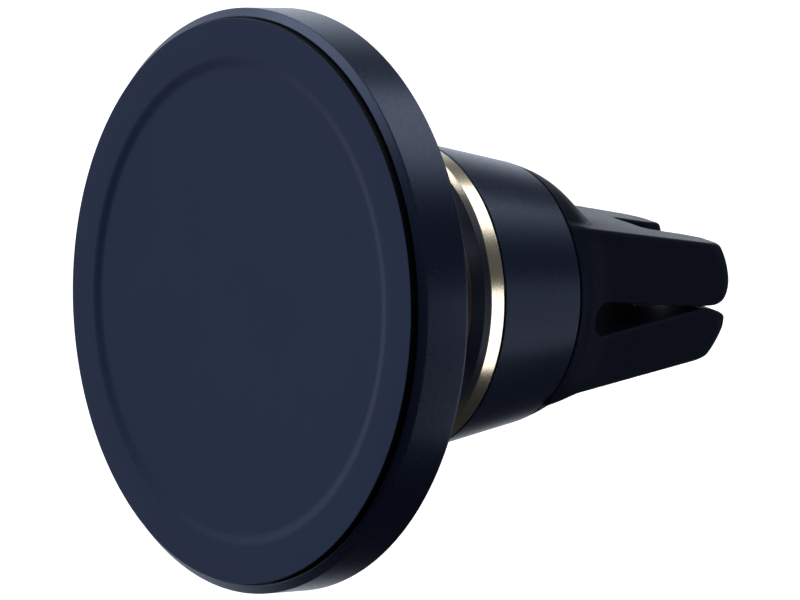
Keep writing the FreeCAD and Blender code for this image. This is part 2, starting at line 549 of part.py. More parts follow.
def jaw(label, name, side):
    """side is +1 for the upper jaw and -1 for the lower one."""
    bd = new_body(name)
    tip_z = 5.6
    s = sketch(bd, name + "Side", "YZ_Plane")
    top = lambda st: half_h(st) * side
    # block seen from the side: root face, outer face, domed tip, far side of the slot
    end = D.dome_at + root(D.dome_rad * D.dome_rad - Q(tip_z * tip_z, "%r" % (tip_z * tip_z)))
    verts = [(start, 0.0)]
    if side > 0:
        outline(s, [verts[0], (None, 0.0), (None, q(tip_z)), (end - 0.9, top(end - 0.9)), (start, top(start))],
                {1: (D.dome_at, 0.0, D.dome_rad, 1)})
        low = -3.2
    else:
        outline(s, [verts[0], (start, top(start)), (end - 0.9, top(end - 0.9)), (None, q(-tip_z)), (None, 0.0)],
                {3: (D.dome_at, 0.0, D.dome_rad, 1)})
        low = 1.2
    pad(bd, s, name + "Block", 2 * D.block_w0, both=True)
    # the upper jaw reaches a little below the stem axis, down to the slot
    if side > 0:
        s = sketch(bd, name + "Lip", "YZ_Plane")
        outline(s, [(start, 0.0), (start, -0.9), (nose - 0.35, -0.9), (nose - 0.02, 0.0)])
        pad(bd, s, name + "LipBlock", 2 * D.block_w0, both=True)
    # plan taper and the slightly crowned tip
    for sx in (1, -1):
        s = sketch(bd, "%sTaper%s" % (name, "R" if sx > 0 else "L"), "XY_Plane")
        pts = [(half_w(start - 1) * sx, start - 1), (14.0 * sx, start - 1), (14.0 * sx, D.block_to + 2), (half_w(D.block_to + 2) * sx, D.block_to + 2)]
        outline(s, pts if sx > 0 else pts[::-1])
        pocket(bd, s, "%sTaperCut%s" % (name, "R" if sx > 0 else "L"), 40.0, both=True)
    s = sketch(bd, name + "Crown", "XY_Plane")
    cy = D.tip_reach - D.plan_rad
    outline(s, [(-12.0, None), (12.0, None), (12.0, D.block_to + 3), (-12.0, D.block_to + 3)],
            {0: (0.0, cy, D.plan_rad, -1)})
    pocket(bd, s, name + "CrownCut", 40.0, both=True)
    # rib notch
    s = sketch(bd, name + "Notch", "XY_Plane")
    outline(s, [(-D.notch_half, D.notch_from), (D.notch_half, D.notch_from), (D.notch_half, D.block_to + 3), (-D.notch_half, D.block_to + 3)])
    pocket(bd, s, name + "NotchCut", 40.0, both=True)
    # the flange's cone over the root
    revolve(bd, name + "Cone", [(0, start), (cone_radius(start), start), (cone_radius(D.cone_end), D.cone_end), (0, D.cone_end)])
    # the blade slot's near wall, its nip and its flared mouth
    s = sketch(bd, name + "Slot", "YZ_Plane")
    z0 = D.slot_up0 if side > 0 else D.slot_lo0
    zn = D.nip_up if side > 0 else D.nip_lo
    far = -16.0 * side
    zs = z0 + (zn - z0) * (start - 1 - D.split_at) / (D.nip_at - D.split_at)
    if side > 0:
        outline(s, [(start - 1, far), (D.block_to + 3, far), (D.block_to + 3, 1.4), (59.2, 1.0), (58.15, -0.03), (57.0, -0.3), (D.nip_at, zn), (start - 1, zs)])
    else:
        outline(s, [(start - 1, far), (start - 1, zs), (D.nip_at, zn), (57.0, -0.84), (58.4, -1.24), (59.15, D.flare_lo_z), (D.block_to + 3, D.flare_lo_z - 0.2), (D.block_to + 3, far)])
    pocket(bd, s, name + "SlotCut", 40.0, both=True)
    # well for the stiffener
    s = sketch(bd, name + "Well", "YZ_Plane")
    za, zb, ye = (D.tongue_in, D.tongue_out, D.tongue_end) if side > 0 else (D.lower_in, D.lower_out, D.lower_tongue_end)
    p = [(start - 1, zb), (start - 1, za), (ye, za), (ye, zb)]
    outline(s, p if side > 0 else p[::-1])
    pocket(bd, s, name + "WellCut", 2 * D.tongue_w, both=True)
    place(bd, label + "_sleeve")
    tongue = box(name + "Tongue", -D.tongue_w, D.tongue_w, start, ye, *((za, zb) if side > 0 else (zb, za)))
    place(tongue, label + "_core")


jaw("upper_jaw", "UpperJaw", 1)
jaw("lower_jaw", "LowerJaw", -1)

# ============================================================================ check and export
doc.recompute()
bad = [o.Name for o in doc.Objects if "Invalid" in o.State or "Error" in o.State]
if bad:
    raise RuntimeError("these objects failed: %s" % ", ".join(bad))
os.makedirs("parts", exist_ok=True)
for label, obj in PARTS:
    shape = obj.Shape
    if shape.isNull() or not shape.isValid() or not shape.Solids:
        raise RuntimeError("%s has no valid solid" % label)
    print("%-18s solids %2d  volume %9.2f mm3" % (label, len(shape.Solids), shape.Volume))
    shape.exportStep("parts/%s.step" % label)
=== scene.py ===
import math

import bmesh
import bpy
import numpy as np
from mathutils import Matrix, Vector


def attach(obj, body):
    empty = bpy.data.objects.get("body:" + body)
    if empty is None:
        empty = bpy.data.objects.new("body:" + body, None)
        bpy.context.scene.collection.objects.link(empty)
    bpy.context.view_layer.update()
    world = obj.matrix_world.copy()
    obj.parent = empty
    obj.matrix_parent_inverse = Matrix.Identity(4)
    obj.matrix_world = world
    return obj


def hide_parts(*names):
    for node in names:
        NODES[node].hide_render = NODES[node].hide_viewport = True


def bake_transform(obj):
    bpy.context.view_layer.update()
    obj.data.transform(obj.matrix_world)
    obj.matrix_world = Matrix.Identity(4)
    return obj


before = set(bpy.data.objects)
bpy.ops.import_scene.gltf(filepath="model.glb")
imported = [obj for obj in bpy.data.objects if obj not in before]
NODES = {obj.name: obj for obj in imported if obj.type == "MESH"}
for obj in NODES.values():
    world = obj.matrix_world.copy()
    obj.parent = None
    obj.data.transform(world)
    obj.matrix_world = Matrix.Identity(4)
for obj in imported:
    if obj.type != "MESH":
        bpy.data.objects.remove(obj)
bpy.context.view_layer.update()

SHIFT = 56.0  # the frame's origin along the stem, in mm from the phone face


# ============================================================================ meshes
def new_object(name, verts, faces):
    me = bpy.data.meshes.new(name)
    me.from_pydata([tuple(v) for v in verts], [], [tuple(f) for f in faces])
    me.update()
    ob = bpy.data.objects.new(name, me)
    bpy.context.scene.collection.objects.link(ob)
    return ob


def shade(ob, angle=32.0):
    me = ob.data
    me.polygons.foreach_set("use_smooth", [True] * len(me.polygons))
    me.set_sharp_from_angle(angle=math.radians(angle))
    me.update()


def profile(points, steps=7):
    """A closed outline of (radius, station) corners, each with an optional fillet radius.  Fillets
    get support points beside them, so that flat faces stay flat when shaded.  Returns the outline
    and how much each point lies on a fillet."""
    n = len(points)
    P = [np.array(p[:2], float) for p in points]
    R = [p[2] if len(p) > 2 else 0.0 for p in points]
    out, edge = [], []
    for i in range(n):
        p, a, b, r = P[i], P[i - 1], P[(i + 1) % n], R[i]
        if r <= 0:
            out.append(p); edge.append(0.0)
            continue
        u, v = a - p, b - p
        lu, lv = np.linalg.norm(u), np.linalg.norm(v)
        u, v = u / lu, v / lv
        half = 0.5 * math.acos(max(-1.0, min(1.0, float(u @ v))))
        t = min(r / math.tan(half), 0.49 * lu, 0.49 * lv)
        rr = t * math.tan(half)
        mid = (u + v) / np.linalg.norm(u + v)
        c = p + mid * (rr / math.sin(half))
        s, e = p + u * t - c, p + v * t - c
        ang = math.acos(max(-1.0, min(1.0, float(s @ e) / (rr * rr))))
        sup = min(0.12, 0.25 * t + 0.03)
        if lu - t > 4 * sup:
            out.append(p + u * (t + sup)); edge.append(0.0)
        k = max(2, int(round(steps * ang / (math.pi / 2))))
        for j in range(k + 1):
            w = j / k
            q = (math.sin((1 - w) * ang) * s + math.sin(w * ang) * e) / math.sin(ang)
            out.append(c + q); edge.append(math.sin(math.pi * w) if k > 1 else 1.0)
        if lv - t > 4 * sup:
            out.append(p + v * (t + sup)); edge.append(0.0)
    return out, edge


def lathe(name, points, seg=300, angle=32.0, steps=7):
    """Turns a closed outline about the stem."""
    pts, edge = profile(points, steps)
    cs = [(math.cos(2 * math.pi * k / seg), math.sin(2 * math.pi * k / seg)) for k in range(seg)]
    verts, edge_wear_and_highlight, rings = [], [], []
    for (r, y), e in zip(pts, edge):
        if r < 1e-6:
            rings.append([len(verts)] * seg)
            verts.append((0.0, (y - SHIFT) / 1000, 0.0)); edge_wear_and_highlight.append(e)
        else:
            rings.append(list(range(len(verts), len(verts) + seg)))
            for c, s in cs:
                verts.append((r * c / 1000, (y - SHIFT) / 1000, r * s / 1000)); edge_wear_and_highlight.append(e)
    faces = []
    for i in range(len(rings)):
        a, b = rings[i], rings[(i + 1) % len(rings)]
        if a[0] == a[1] and b[0] == b[1]:
            continue
        for k in range(seg):
            m = (k + 1) % seg
            f = []
            for v in (a[k], a[m], b[m], b[k]):
                if v not in f:
                    f.append(v)
            if len(f) > 2:
                faces.append(f)
    ob = new_object(name, verts, faces)
    bm = bmesh.new()
    bm.from_mesh(ob.data)
    bmesh.ops.recalc_face_normals(bm, faces=bm.faces)
    bm.to_mesh(ob.data)
    bm.free()
    # per-point fillet weight, which the shaders use for edge wear and a painted edge highlight
    at = ob.data.attributes.new("edge", "FLOAT", "POINT")
    at.data.foreach_set("value", np.array(edge_wear_and_highlight, np.float32))
    shade(ob, angle)
    return ob


# ---------------------------------------------------------------------------- signed distances
def r_int(a, b, r):
    return np.minimum(-r, np.maximum(a, b)) + np.hypot(np.maximum(r + a, 0), np.maximum(r + b, 0))


def r_uni(a, b, r):
    return np.maximum(r, np.minimum(a, b)) - np.hypot(np.maximum(r - a, 0), np.maximum(r - b, 0))


def soft_ramp(y, y0, y1):
    t = np.clip((y - y0) / (y1 - y0), 0, 1)
    return (y1 - y0) * (t ** 3 - t ** 4 / 2) + np.maximum(y - y1, 0)


SLOT_ROOT, SLOT_NIP = (40.60, -0.95, 1.77), (55.6, -0.56, 0.06)  # station, height, radius


def clip_sdf(x, y, z):
    """The clip: a tapered block with a domed tip on a round flange, with a rib notch from top to
    bottom and a blade slot from side to side.  Millimetres, y from the phone face."""
    ax, az = np.abs(x), np.abs(z)
    dx = (ax - (10.03 - 0.1200 * (y - 34))) * 0.9929
    dz = (az - (9.13 - 0.1319 * (y - 34))) * 0.9914
    up = np.where(y > 51.45, np.hypot(y - 51.45, z) - 8.72, az - 8.72 - (51.45 - y))
    lo = np.where(y > 51.72, np.hypot(y - 51.72, np.minimum(z, 0)) - 8.72, az - 8.72 - (51.72 - y))
    dome = np.where(z > -0.55, up, lo)
    crown = np.hypot(x, y - 33.75) - 27.0
    tip = r_int(dome, crown, 0.6)
    block = r_int(r_int(dx, tip, 1.7), dz, 0.34)
    block = r_int(block, 33.56 - y, 0.1)
    half = 2.6 + 0.13 * np.maximum(y - 54.6, 0) ** 1.7
    notch = r_int((ax - half) * 0.93, 50.2 - y, 0.7)
    block = r_int(block, -notch, 0.30)
    rc = np.minimum(13.45, 13.5 - 0.3 * (y - 33.5) - 0.40 * soft_ramp(y, 34.2, 38.2))
    # the cone draws in beside the slot, so that the block's side faces run out flush
    rad = np.hypot(x, z)
    c = np.clip((ax / np.maximum(rad, 1e-6) - 0.80) / 0.16, 0, 1)
    t = np.clip((y - 34.0) / 4.0, 0, 1)
    rc = rc - 1.62 * (c * c * (3 - 2 * c)) * (t * t * (3 - 2 * t))
    flange = r_int((rad - rc) * 0.80, 33.56 - y, 0.14)
    body = r_uni(block, flange, 0.35 + 1.1 * np.clip((ax - az + 1) / 7, 0, 1) + 0.6 * np.clip(-z / 4, 0, 1))
    # blade slot: a tapering round-ended slot, then the flared mouth beyond the nip
    (ya, za, ra), (yb, zb, rb) = SLOT_ROOT, SLOT_NIP
    ln = math.hypot(yb - ya, zb - za)
    ey, ez = (yb - ya) / ln, (zb - za) / ln
    along = (y - ya) * ey + (z - za) * ez
    side = np.abs((z - za) * ey - (y - ya) * ez)
    b = (ra - rb) / ln
    a = math.sqrt(1 - b * b)
    k = a * along - b * side
    slot = np.where(k < 0, np.hypot(side, along) - ra,
                    np.where(k > a * ln, np.hypot(side, along - ln) - rb, a * side + b * along - ra))
    arc = 3.05 - np.hypot(np.maximum(y - 56.95, 0), 2.62 - z)
    arc = np.where(z > 2.62, 3.05 - (y - 56.95), arc)
    low = (-0.69 - 0.072 * np.maximum(y - 55.7, 0) ** 2 - z) * 0.95
    mouth = np.maximum(np.maximum(arc, low), SLOT_NIP[0] - 0.2 - y)
    return r_int(body, -np.minimum(slot, mouth), 0.24)


def surface_net(fn, xs, ys, zs):
    """Quads on the zero level of fn, one vertex in each grid cell that it crosses, and the
    vertices then moved onto it."""
    f = fn(xs[:, None, None], ys[None, :, None], zs[None, None, :]).astype(np.float64)
    neg = f < 0
    n = np.array(f.shape) - 1
    count = np.zeros(n, np.int8)
    for i in (0, 1):
        for j in (0, 1):
            for k in (0, 1):
                count += neg[i:i + n[0], j:j + n[1], k:k + n[2]]
    cells = np.argwhere((count > 0) & (count < 8))
    index = -np.ones(n, np.int64)
    index[tuple(cells.T)] = np.arange(len(cells))
    total, hits = np.zeros((len(cells), 3)), np.zeros(len(cells))
    corners = [np.array(c) for c in ((0, 0, 0), (1, 0, 0), (0, 1, 0), (0, 0, 1), (1, 1, 0), (1, 0, 1), (0, 1, 1), (1, 1, 1))]
    for a in corners:
        for d in range(3):
            if a[d]:
                continue
            b = a.copy(); b[d] = 1
            fa, fb = f[tuple((cells + a).T)], f[tuple((cells + b).T)]
            cross = (fa < 0) != (fb < 0)
            t = np.where(cross, fa / np.where(cross, fa - fb, 1), 0)
            total[cross] += (a + t[:, None] * (b - a))[cross]
            hits += cross
    g = cells + total / hits[:, None]
    step = np.array([xs[1] - xs[0], ys[1] - ys[0], zs[1] - zs[0]])
    p = np.array([xs[0], ys[0], zs[0]]) + g * step
    quads = []
    for d in range(3):
        a, b = (d + 1) % 3, (d + 2) % 3
        s0 = [slice(None)] * 3; s1 = [slice(None)] * 3
        s0[d], s1[d] = slice(0, -1), slice(1, None)
        cross = neg[tuple(s0)] != neg[tuple(s1)]
        e = np.argwhere(cross)
        e = e[(e[:, a] > 0) & (e[:, b] > 0) & (e[:, a] < n[a]) & (e[:, b] < n[b])]
        ua, ub = np.eye(3, dtype=int)[a], np.eye(3, dtype=int)[b]
        q4 = np.stack([index[tuple((e - ua - ub).T)], index[tuple((e - ub).T)], index[tuple(e.T)], index[tuple((e - ua).T)]], 1)
        flip = ~neg[tuple(e.T)]
        q4[flip] = q4[flip][:, ::-1]
        quads.append(q4)
    quads = np.concatenate(quads)
    h = 0.004
    for _ in range(5):
        v = fn(*p.T)
        gr = np.stack([fn(*(p + h * o).T) - fn(*(p - h * o).T) for o in np.eye(3)], 1) / (2 * h)
        p -= np.clip(v / np.maximum((gr ** 2).sum(1), 0.2), -0.12, 0.12)[:, None] * gr
    h = 0.22
    bend = sum(fn(*(p + h * o).T) + fn(*(p - h * o).T) for o in np.eye(3)) - 6 * fn(*p.T)
    return p, quads, np.clip(bend / 0.12, 0, 1)


def clip_skin():
    """The clip's skin in two halves, parted along the blade slot's mid plane."""
    xs = np.arange(-13.75, 13.8, 0.225)
    ys = np.arange(33.2, 61.1, 0.2)
    zs = np.arange(-13.75, 13.8, 0.15)
    p, quads, bend = surface_net(clip_sdf, xs, ys, zs)
    halves = []
    tilt = (SLOT_NIP[1] - SLOT_ROOT[1]) / (SLOT_NIP[0] - SLOT_ROOT[0])
    for name, keep in (("clip_skin_upper", 1), ("clip_skin_lower", -1)):
        bm = bmesh.new()
        # convexity weight, which the shaders use for edge wear and a painted edge highlight
        edge_wear_and_highlight = bm.verts.layers.float.new("edge")
        vs = []
        for (x, y, z), w in zip(p, bend):
            v = bm.verts.new((x / 1000, (y - SHIFT) / 1000, z / 1000))
            v[edge_wear_and_highlight] = float(w)
            vs.append(v)
        for a, b, c, d in quads:
            bm.faces.new((vs[a], vs[b], vs[c], vs[d]))
        co = Vector((0, (SLOT_ROOT[0] - SHIFT) / 1000, SLOT_ROOT[1] / 1000))
        no = Vector((0, -tilt, 1)).normalized() * keep
        cut = bmesh.ops.bisect_plane(bm, geom=bm.verts[:] + bm.edges[:] + bm.faces[:], dist=1e-8, plane_co=co, plane_no=no, clear_inner=True)
        bmesh.ops.delete(bm, geom=[v for v in bm.verts if not v.link_faces], context="VERTS")
        rim = [e for e in bm.edges if e.is_boundary]
        bmesh.ops.triangle_fill(bm, edges=rim, use_beauty=True)
        bmesh.ops.recalc_face_normals(bm, faces=bm.faces)
        me = bpy.data.meshes.new(name)
        bm.to_mesh(me)
        print(name, len(me.polygons), "open edges", sum(1 for e in bm.edges if not e.is_manifold))
        bm.free()
        ob = bpy.data.objects.new(name, me)
        bpy.context.scene.collection.objects.link(ob)
        shade(ob, 50.0)
        halves.append(ob)
    return halves


# ============================================================================ materials
class Shader:
    def __init__(self, name):
        self.mat = bpy.data.materials.new(name)
        self.mat.use_nodes = True
        self.t = self.mat.node_tree
        self.bsdf = self.t.nodes["Principled BSDF"]
        self.pos = self.node("ShaderNodeTexCoord").outputs["Object"]

    def node(self, kind, **props):
        n = self.t.nodes.new(kind)
        for k, v in props.items():
            setattr(n, k, v)
        return n

    def link(self, a, b):
        self.t.links.new(a, b)

    def set(self, **values):
        for k, v in values.items():
            self.bsdf.inputs[k.replace("_", " ")].default_value = v

    def noise(self, scale, detail=3.0, rough=0.55, vector=None):
        n = self.node("ShaderNodeTexNoise")
        n.inputs["Scale"].default_value = scale
        n.inputs["Detail"].default_value = detail
        n.inputs["Roughness"].default_value = rough
        self.link(vector or self.pos, n.inputs["Vector"])
        return n.outputs["Fac"]

    def range(self, value, lo, hi, a=0.0, b=1.0, smooth=False):
        n = self.node("ShaderNodeMapRange")
        if smooth:
            n.interpolation_type = "SMOOTHSTEP"
        for k, v in (("From Min", lo), ("From Max", hi), ("To Min", a), ("To Max", b)):
            n.inputs[k].default_value = v
        self.link(value, n.inputs["Value"])
        return n.outputs["Result"]

    def math(self, op, a, b=None):
        n = self.node("ShaderNodeMath", operation=op)
        for i, v in enumerate((a, b)):
            if v is None:
                continue
            if isinstance(v, (int, float)):
                n.inputs[i].default_value = v
            else:
                self.link(v, n.inputs[i])
        return n.outputs[0]

    def mix(self, fac, a, b):
        n = self.node("ShaderNodeMix", data_type="RGBA")
        for sock, v in ((n.inputs[0], fac), (n.inputs[6], a), (n.inputs[7], b)):
            if isinstance(v, (int, float)):
                sock.default_value = v
            elif isinstance(v, tuple):
                sock.default_value = (*v, 1.0)
            else:
                self.link(v, sock)
        return n.outputs[2]

    def bump(self, *layers):
        """layers are (height, distance in metres, strength)."""
        last = None
        for height, dist, strength in layers:
            n = self.node("ShaderNodeBump")
            n.inputs["Strength"].default_value = strength
            n.inputs["Distance"].default_value = dist
            self.link(height, n.inputs["Height"])
            if last is not None:
                self.link(last, n.inputs["Normal"])
            last = n.outputs["Normal"]
        self.link(last, self.bsdf.inputs["Normal"])

    def radius(self):
        """Distance from the stem's axis, and station along it."""
        sep = self.node("ShaderNodeSeparateXYZ")
        self.link(self.pos, sep.inputs[0])
        rad = self.math("SQRT", self.math("ADD", self.math("MULTIPLY", sep.outputs[0], sep.outputs[0]), self.math("MULTIPLY", sep.outputs[2], sep.outputs[2])))
        return rad, sep.outputs[1]

    def rings(self, scale, detail=2.0):
        """Noise that is the same all the way round the stem: fine lines left by turning."""
        rad, along = self.radius()
        com = self.node("ShaderNodeCombineXYZ")
        self.link(rad, com.inputs[0])
        self.link(along, com.inputs[1])
        return self.noise(scale, detail, 0.6, com.outputs[0])

    def edge(self):
        n = self.node("ShaderNodeAttribute", attribute_name="edge")
        return n.outputs["Fac"]


def srgb(r, g, b):
    def f(c):
        c /= 255.0
        return c / 12.92 if c <= 0.04045 else ((c + 0.055) / 1.055) ** 2.4
    return (f(r), f(g), f(b))


def pad_material():
    s = Shader("soft_pad_navy")
    cloud = s.noise(90.0, 4.0)
    fine = s.noise(5200.0, 2.0)
    col = s.mix(s.range(cloud, 0.35, 0.65), srgb(21, 40, 74), srgb(24, 42, 76))
    col = s.mix(s.range(fine, 0.3, 0.75, 0.0, 0.10), col, srgb(56, 66, 90))
    # lighter on fillets: edge wear, and also a painted edge highlight
    col = s.mix(s.math("MULTIPLY", s.edge(), 0.25), col, srgb(70, 80, 105))
    # painted shade: from 27.91 mm radius outwards the pad's rounded rim and side wall are painted near-black,
    # standing in for the shade in the gap between pad and cup
    col = s.mix(s.range(s.radius()[0], 0.02791, 0.02797), col, srgb(5, 7, 12))
    s.link(col, s.bsdf.inputs["Base Color"])
    s.link(s.range(fine, 0.3, 0.7, 0.46, 0.56), s.bsdf.inputs["Roughness"])
    s.set(Specular_IOR_Level=0.10)
    s.bump((fine, 0.000012, 0.5), (s.noise(1500.0, 2.0), 0.00002, 0.18))
    return s.mat


def navy_material(name="navy_satin", flake=1.0):
    s = Shader(name)
    cloud = s.noise(60.0, 3.0)
    vor = s.node("ShaderNodeTexVoronoi")
    vor.inputs["Scale"].default_value = 7000.0
    s.link(s.pos, vor.inputs["Vector"])
    speck = s.range(vor.outputs["Distance"], 0.0, 0.35, 1.0, 0.0)
    col = s.mix(s.range(cloud, 0.3, 0.7), srgb(22, 31, 60), srgb(26, 35, 65))
    col = s.mix(s.math("MULTIPLY", speck, 0.03 * flake), col, srgb(60, 72, 108))
    # lighter on fillets, in patches: edge wear, and also a painted edge highlight
    edge_wear_and_highlight = s.math("MULTIPLY", s.edge(), s.range(s.noise(900.0, 3.0), 0.35, 0.65, 0.25, 0.7))
    col = s.mix(edge_wear_and_highlight, col, srgb(62, 72, 100))
    s.link(col, s.bsdf.inputs["Base Color"])
    s.link(s.math("ADD", s.range(s.noise(2600.0, 2.0), 0.3, 0.7, 0.26, 0.32), s.math("MULTIPLY", speck, 0.012)), s.bsdf.inputs["Roughness"])
    s.set(Metallic=0.30, Specular_IOR_Level=0.52, Specular_Tint=(0.64, 0.80, 1.0, 1.0))
    s.bump((s.noise(2400.0, 2.0), 0.000006, 0.08), (s.rings(9000.0), 0.000006, 0.06))
    return s.mat


def gold_material():
    s = Shader("gold_turned")
    lines = s.rings(14000.0, 3.0)
    cloud = s.noise(220.0, 3.0)
    col = s.mix(s.range(cloud, 0.3, 0.7), srgb(226, 214, 192), srgb(234, 223, 202))
    col = s.mix(s.range(lines, 0.35, 0.7, 0.0, 0.18), col, srgb(196, 180, 150))
    s.link(col, s.bsdf.inputs["Base Color"])
    s.link(s.range(lines, 0.3, 0.7, 0.17, 0.25), s.bsdf.inputs["Roughness"])
    s.set(Metallic=1.0)
    s.bump((lines, 0.000008, 0.22))
    return s.mat


def silicone_material():
    s = Shader("soft_silicone_black")
    grain = s.noise(8200.0, 2.0, 0.6)
    cloud = s.noise(150.0, 3.0)
    dust = s.range(s.noise(3400.0, 4.0, 0.7), 0.60, 0.78, 0.0, 0.10)
    col = s.mix(s.range(cloud, 0.3, 0.7), srgb(14, 22, 39), srgb(16, 24, 42))
    col = s.mix(dust, col, srgb(40, 46, 58))
    # lighter on convex edges: edge wear, and also a painted edge highlight
    col = s.mix(s.math("MULTIPLY", s.edge(), 0.30), col, srgb(38, 44, 58))
    s.link(col, s.bsdf.inputs["Base Color"])
    s.link(s.range(grain, 0.3, 0.7, 0.38, 0.48), s.bsdf.inputs["Roughness"])
    s.set(Specular_IOR_Level=0.035, Sheen_Roughness=0.16, Sheen_Tint=(0.80, 0.89, 1.0, 1.0))
    # a dusty bloom on the block's two broad faces only
    sep = s.node("ShaderNodeSeparateXYZ")
    s.link(s.pos, sep.inputs[0])
    rise = s.math("ADD", s.math("SUBTRACT", s.math("ABSOLUTE", sep.outputs[2]), 0.00913), s.math("MULTIPLY", s.math("ADD", sep.outputs[1], 0.022), 0.1319))
    bloom = s.math("MULTIPLY", s.range(rise, -0.00055, -0.00018, 0.0, 1.0, True), s.range(rise, 0.00012, 0.00034, 1.0, 0.0, True))
    bloom = s.math("MULTIPLY", bloom, s.range(grain, 0.3, 0.7, 0.84, 1.0))
    s.link(s.math("ADD", bloom, 0.01), s.bsdf.inputs["Sheen Weight"])
    s.bump((grain, 0.000024, 0.75), (s.noise(2100.0, 2.0), 0.00003, 0.12))
    return s.mat


def plastic_material(name, a, b, rough=0.5, scale=3000.0, spec=0.45):
    s = Shader(name)
    fine = s.noise(scale, 3.0)
    col = s.mix(s.range(s.noise(200.0, 3.0), 0.3, 0.7), a, b)
    col = s.mix(s.range(fine, 0.45, 0.8, 0.0, 0.2), col, tuple(min(1.0, c * 1.5 + 0.004) for c in b))
    s.link(col, s.bsdf.inputs["Base Color"])
    s.link(s.range(fine, 0.3, 0.7, rough - 0.06, rough + 0.08), s.bsdf.inputs["Roughness"])
    s.set(Specular_IOR_Level=spec)
    s.bump((fine, 0.00002, 0.35))
    return s.mat


def metal_material(name, a, b, rough=0.3, turned=True):
    s = Shader(name)
    lines = s.rings(9000.0, 3.0) if turned else s.noise(2500.0, 3.0)
    col = s.mix(s.range(s.noise(300.0, 3.0), 0.3, 0.7), a, b)
    col = s.mix(s.range(lines, 0.35, 0.75, 0.0, 0.25), col, tuple(c * 0.6 for c in a))
    s.link(col, s.bsdf.inputs["Base Color"])
    s.link(s.range(lines, 0.3, 0.7, rough - 0.06, rough + 0.08), s.bsdf.inputs["Roughness"])
    s.set(Metallic=1.0)
    s.bump((lines, 0.00001, 0.3))
    return s.mat


M = {
    "pad": pad_material(),
    "navy": navy_material(),
    "gold": gold_material(),
    "skin": silicone_material(),
    "black_steel": metal_material("black_steel", srgb(40, 42, 48), srgb(52, 54, 60), 0.34),
    "steel": metal_material("plain_steel", srgb(168, 169, 172), srgb(186, 187, 190), 0.3),
    "magnet": metal_material("nickel_magnet", srgb(190, 186, 176), srgb(205, 202, 192), 0.24, False),
    "spring": metal_material("spring_steel", srgb(120, 121, 126), srgb(140, 141, 146), 0.3),
    "nylon": plastic_material("black_nylon", srgb(20, 21, 24), srgb(26, 27, 31), 0.5),
    "acetal": plastic_material("dark_acetal", srgb(30, 31, 35), srgb(38, 39, 44), 0.36),
    "bush": plastic_material("bush_nylon", srgb(206, 201, 188), srgb(216, 212, 200), 0.42),
    "rubber": plastic_material("black_rubber", srgb(9, 9, 10), srgb(14, 14, 16), 0.62, 4200.0, 0.3),
    "film": plastic_material("adhesive_film", srgb(200, 198, 190), srgb(214, 212, 204), 0.5),
}


def paint(ob, key):
    ob.data.materials.clear()
    ob.data.materials.append(M[key])


# ============================================================================ pieces
def piece(ob, key, slot, body, *nodes):
    paint(ob, key)
    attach(ob, body)
    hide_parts(*nodes)
    return ob


# face pad: a flat silicone disc with a soft-edged dish
dish = [(0.0, 0.30)]
for k in range(13):
    t = k / 12
    dish.append((22.95 + 1.4 * t, 0.30 * (1 - t * t * (3 - 2 * t))))
pad = lathe("face_pad", [*dish, (27.98, 0.0, 0.10), (27.98, 1.5, 0.05), (0.0, 1.5)], seg=360, angle=40)
piece(pad, "pad", "pad_silicone", "head", "front_pad")

# head: turned cup with a chamfered lip, a thin wall and a low hub behind
cup = lathe("head_cup", [
    (5.0, 5.05), (27.6, 5.05), (27.6, 1.5), (28.06, 1.5), (28.06, 0.72, 0.05), (28.22, 0.72, 0.08), (29.0, 1.15, 0.16), (29.0, 6.29, 0.30),
    (27.2, 6.33, 0.5), (12.2, 6.54, 1.2), (11.0, 6.89, 0.5), (7.6, 8.3, 0.18), (5.0, 8.3)], seg=360, angle=35)
piece(cup, "navy", "navy_aluminium", "head", "head_shell")

# gold ring, its gasket and the sleeve behind it
ring = lathe("gold_ring", [
    (9.7, 19.3, 0.08), (10.15, 18.95, 0.25), (12.1, 18.95, 0.6), (13.6, 19.11, 0.3), (15.2, 19.5, 0.05), (15.73, 19.95, 0.07), (15.73, 21.62, 0.09), (9.7, 21.62, 0.08)], seg=320)
piece(ring, "gold", "gold_aluminium", "trim", "trim_ring")
seal = lathe("ring_gasket", [(10.8, 21.62), (15.4, 21.62, 0.03), (15.4, 21.84, 0.03), (10.8, 21.84)], seg=240)
piece(seal, "rubber", "black_rubber", "trim", "collar_gasket")
sleeve = lathe("collar_sleeve", [
    (10.8, 21.84), (15.72, 21.84, 0.12), (13.56, 33.3, 0.12), (12.35, 33.3), (12.35, 33.0), (13.0, 33.0), (13.0, 31.85), (12.35, 31.85),
    (12.35, 26.0), (11.75, 24.9), (10.8, 22.8)], seg=320)
piece(sleeve, "navy", "navy_aluminium", "collar", "lock_collar")

# ball stud: ball, neck with a soft root, thrust collar, shoulder and thread end
ball = [(8.0 * math.sin(a), 25.0 - 8.0 * math.cos(a)) for a in np.linspace(math.asin(3.9 / 8.0), math.pi - 1e-9, 48)]
ball[-1] = (0.0, 33.0)
stud = lathe("ball_stem", [
    (0.0, 2.25), (2.2, 2.25), (2.5, 2.55), (2.5, 5.0), (3.5, 5.0), (3.5, 8.95), (6.2, 8.95, 0.2), (6.2, 10.25, 0.25), (3.9, 11.55, 0.8), *ball], seg=200)
piece(stud, "black_steel", "black_steel", "ball", "ball_stud")

# clip skin, in an upper and a lower half
upper, lower = clip_skin()
for ob, jaw, nodes in ((upper, "upper_jaw", ("upper_jaw_sleeve", "flange_boot")), (lower, "lower_jaw", ("lower_jaw_sleeve",))):
    paint(ob, "skin")
    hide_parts(*nodes)
    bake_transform(ob)

